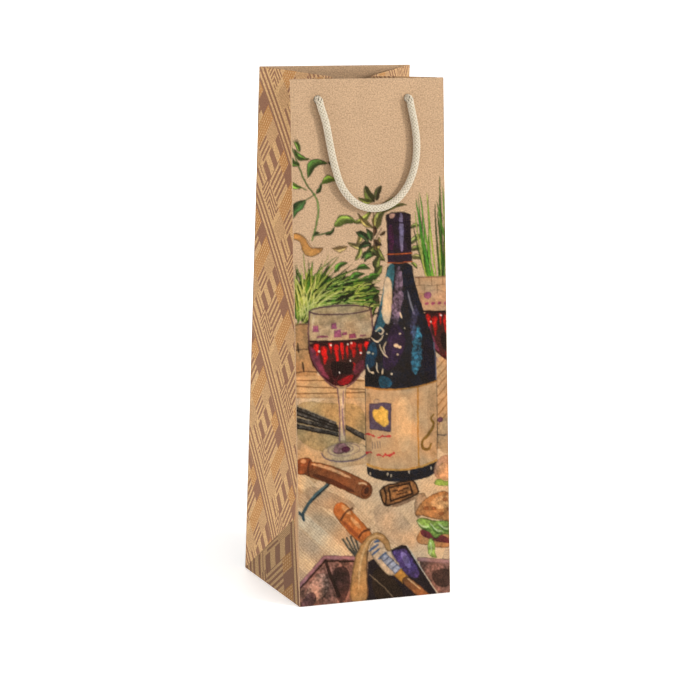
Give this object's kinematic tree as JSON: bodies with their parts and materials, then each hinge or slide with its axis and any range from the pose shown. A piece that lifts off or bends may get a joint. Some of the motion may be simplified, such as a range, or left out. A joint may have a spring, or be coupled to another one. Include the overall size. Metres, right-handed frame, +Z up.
{
  "type": "wine gift bag",
  "caption": "Tall gusseted paper gift bag for one wine bottle, standing with its mouth partly folded, with a braided cord handle hanging in front.",
  "frame": {"origin": "on the floor, under the middle of the base", "axes": "+Z up, -Y towards the printed front panel, +X to the viewer's right when facing that panel"},
  "size_m": [0.115, 0.1, 0.36],
  "materials": {
    "printed_paper": "matte",
    "side_paper": "matte",
    "kraft_paper": "matte",
    "grey_card": "matte",
    "cord": "matte"
  },
  "bodies": {
    "root": {"back_panel": "printed_paper", "back_card": "grey_card", "back_turn_in": "kraft_paper", "seam_flap": "kraft_paper", "bottom_rear_flap": "kraft_paper", "bottom_front_flap": "kraft_paper", "bottom_left_flap": "kraft_paper", "bottom_right_flap": "kraft_paper", "base_card": "grey_card"},
    "front": {"front_panel": "printed_paper", "front_card": "grey_card", "front_turn_in": "kraft_paper", "front_left_knot": "cord", "front_right_knot": "cord"},
    "left_triangle": {"left_base_triangle": "side_paper"},
    "left_gusset_rear_half": {"left_gusset_rear": "side_paper", "left_gusset_rear_turn_in": "kraft_paper"},
    "left_gusset_front_half": {"left_gusset_front": "side_paper", "left_gusset_front_turn_in": "kraft_paper"},
    "right_triangle": {"right_base_triangle": "side_paper"},
    "right_gusset_rear_half": {"right_gusset_rear": "side_paper", "right_gusset_rear_turn_in": "kraft_paper"},
    "right_gusset_front_half": {"right_gusset_front": "side_paper", "right_gusset_front_turn_in": "kraft_paper"},
    "handle": {"front_handle": "cord"}
  },
  "joints": [
    {"name": "mouth", "type": "hinge", "parent": "root", "child": "front", "pos_m": [0, -0.0498, 0.0001], "axis": [1, 0, 0], "range_deg": [0, 5]},
    {"name": "left_rear_fold", "type": "hinge", "parent": "root", "child": "left_gusset_rear_half", "pos_m": [-0.0571, 0.0493, 0.18], "axis": [0, 0, 1], "range_deg": [-26.21, 0]},
    {"name": "left_front_fold", "type": "hinge", "parent": "front", "child": "left_gusset_front_half", "pos_m": [-0.0571, -0.0268, 0.17855], "axis": [0, 0.125, 0.9922], "range_deg": [0, 26.21]},
    {"name": "left_bottom_fold", "type": "hinge", "parent": "root", "child": "left_triangle", "pos_m": [-0.0571, 0, 0.0008], "axis": [0, 1, 0], "range_deg": [-8.76, 0]},
    {"name": "right_rear_fold", "type": "hinge", "parent": "root", "child": "right_gusset_rear_half", "pos_m": [0.0571, 0.0493, 0.18], "axis": [0, 0, 1], "range_deg": [0, 26.21]},
    {"name": "right_front_fold", "type": "hinge", "parent": "front", "child": "right_gusset_front_half", "pos_m": [0.0571, -0.0268, 0.17855], "axis": [0, 0.125, 0.9922], "range_deg": [-26.21, 0]},
    {"name": "right_bottom_fold", "type": "hinge", "parent": "root", "child": "right_triangle", "pos_m": [0.0571, 0, 0.0008], "axis": [0, 1, 0], "range_deg": [0, 8.76]},
    {"name": "handle_swing", "type": "hinge", "parent": "front", "child": "handle", "pos_m": [0, -0.00972, 0.34371], "axis": [-1, 0, 0], "range_deg": [0, 165]}
  ],
  "couplings": [
    {"joint": "left_rear_fold", "follows": "mouth", "ratio": -5.24},
    {"joint": "left_front_fold", "follows": "mouth", "ratio": 5.24},
    {"joint": "left_bottom_fold", "follows": "mouth", "ratio": -1.75},
    {"joint": "right_rear_fold", "follows": "mouth", "ratio": 5.24},
    {"joint": "right_front_fold", "follows": "mouth", "ratio": -5.24},
    {"joint": "right_bottom_fold", "follows": "mouth", "ratio": 1.75}
  ]
}
